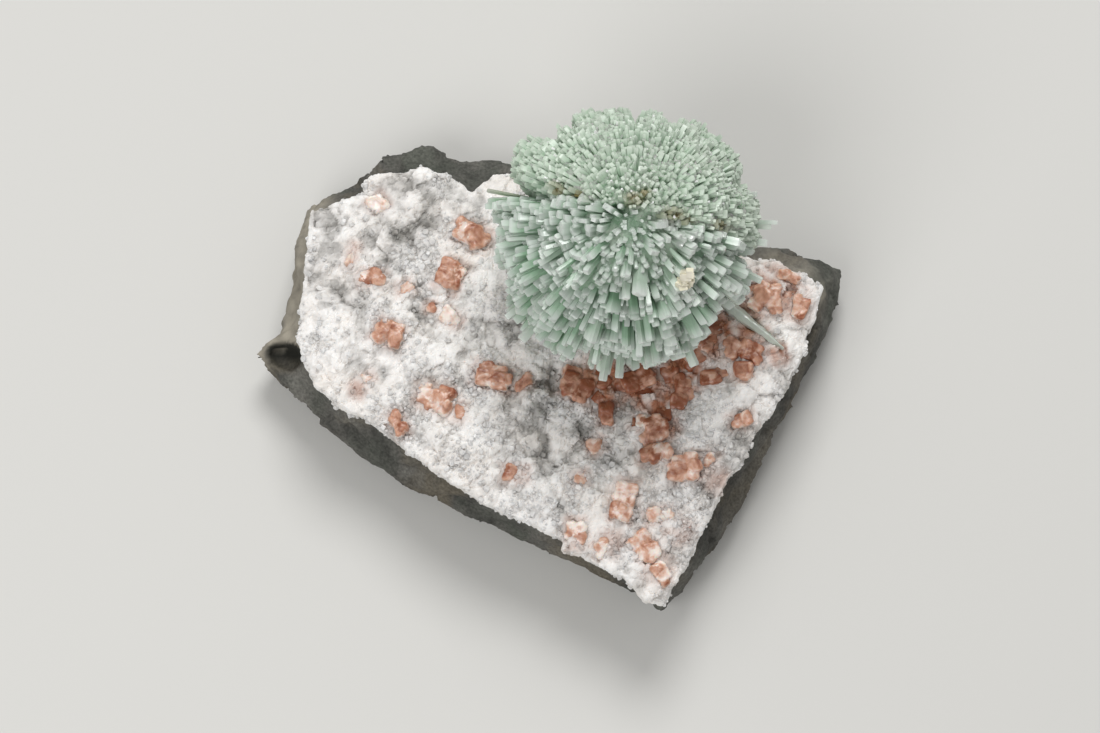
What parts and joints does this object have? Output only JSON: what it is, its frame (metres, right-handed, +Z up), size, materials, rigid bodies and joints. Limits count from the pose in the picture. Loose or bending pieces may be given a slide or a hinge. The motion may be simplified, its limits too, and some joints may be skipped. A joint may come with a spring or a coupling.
{
  "type": "scolecite crystal ball on zeolite matrix",
  "caption": "Mineral specimen: a pale green ball of radiating scolecite crystals on a white heulandite crust with salmon stilbite, over a flat piece of basalt.",
  "frame": {"origin": "middle of the basalt's flat underside", "axes": "+Z up from the flat underside, +X along the slab's length, +Y towards the back edge, where the ball stands"},
  "size_m": [0.0921, 0.0749, 0.0551],
  "materials": {
    "basalt": "rough broken basalt",
    "heulandite": "white sugary druse with a glassy sparkle",
    "scolecite": "translucent pale green crystals with glassy faces",
    "stilbite": "salmon crystals with pearly stepped faces"
  },
  "bodies": {
    "root": {"basalt_matrix": "basalt", "heulandite_crust": "heulandite", "scolecite_ball": "scolecite", "scolecite_blade": "scolecite", "stilbite_01": "stilbite", "stilbite_02": "stilbite", "stilbite_03": "stilbite", "stilbite_04": "stilbite", "stilbite_05": "stilbite", "stilbite_06": "stilbite", "stilbite_07": "stilbite", "stilbite_08": "stilbite", "stilbite_09": "stilbite", "stilbite_10": "stilbite", "stilbite_11": "stilbite", "stilbite_12": "stilbite", "stilbite_13": "stilbite", "stilbite_14": "stilbite", "stilbite_15": "stilbite", "stilbite_16": "stilbite", "stilbite_17": "stilbite", "stilbite_18": "stilbite", "stilbite_19": "stilbite", "stilbite_20": "stilbite", "stilbite_21": "stilbite", "stilbite_22": "stilbite", "stilbite_23": "stilbite", "stilbite_24": "stilbite", "stilbite_25": "stilbite", "stilbite_26": "stilbite", "stilbite_27": "stilbite", "stilbite_28": "stilbite"}
  },
  "joints": []
}
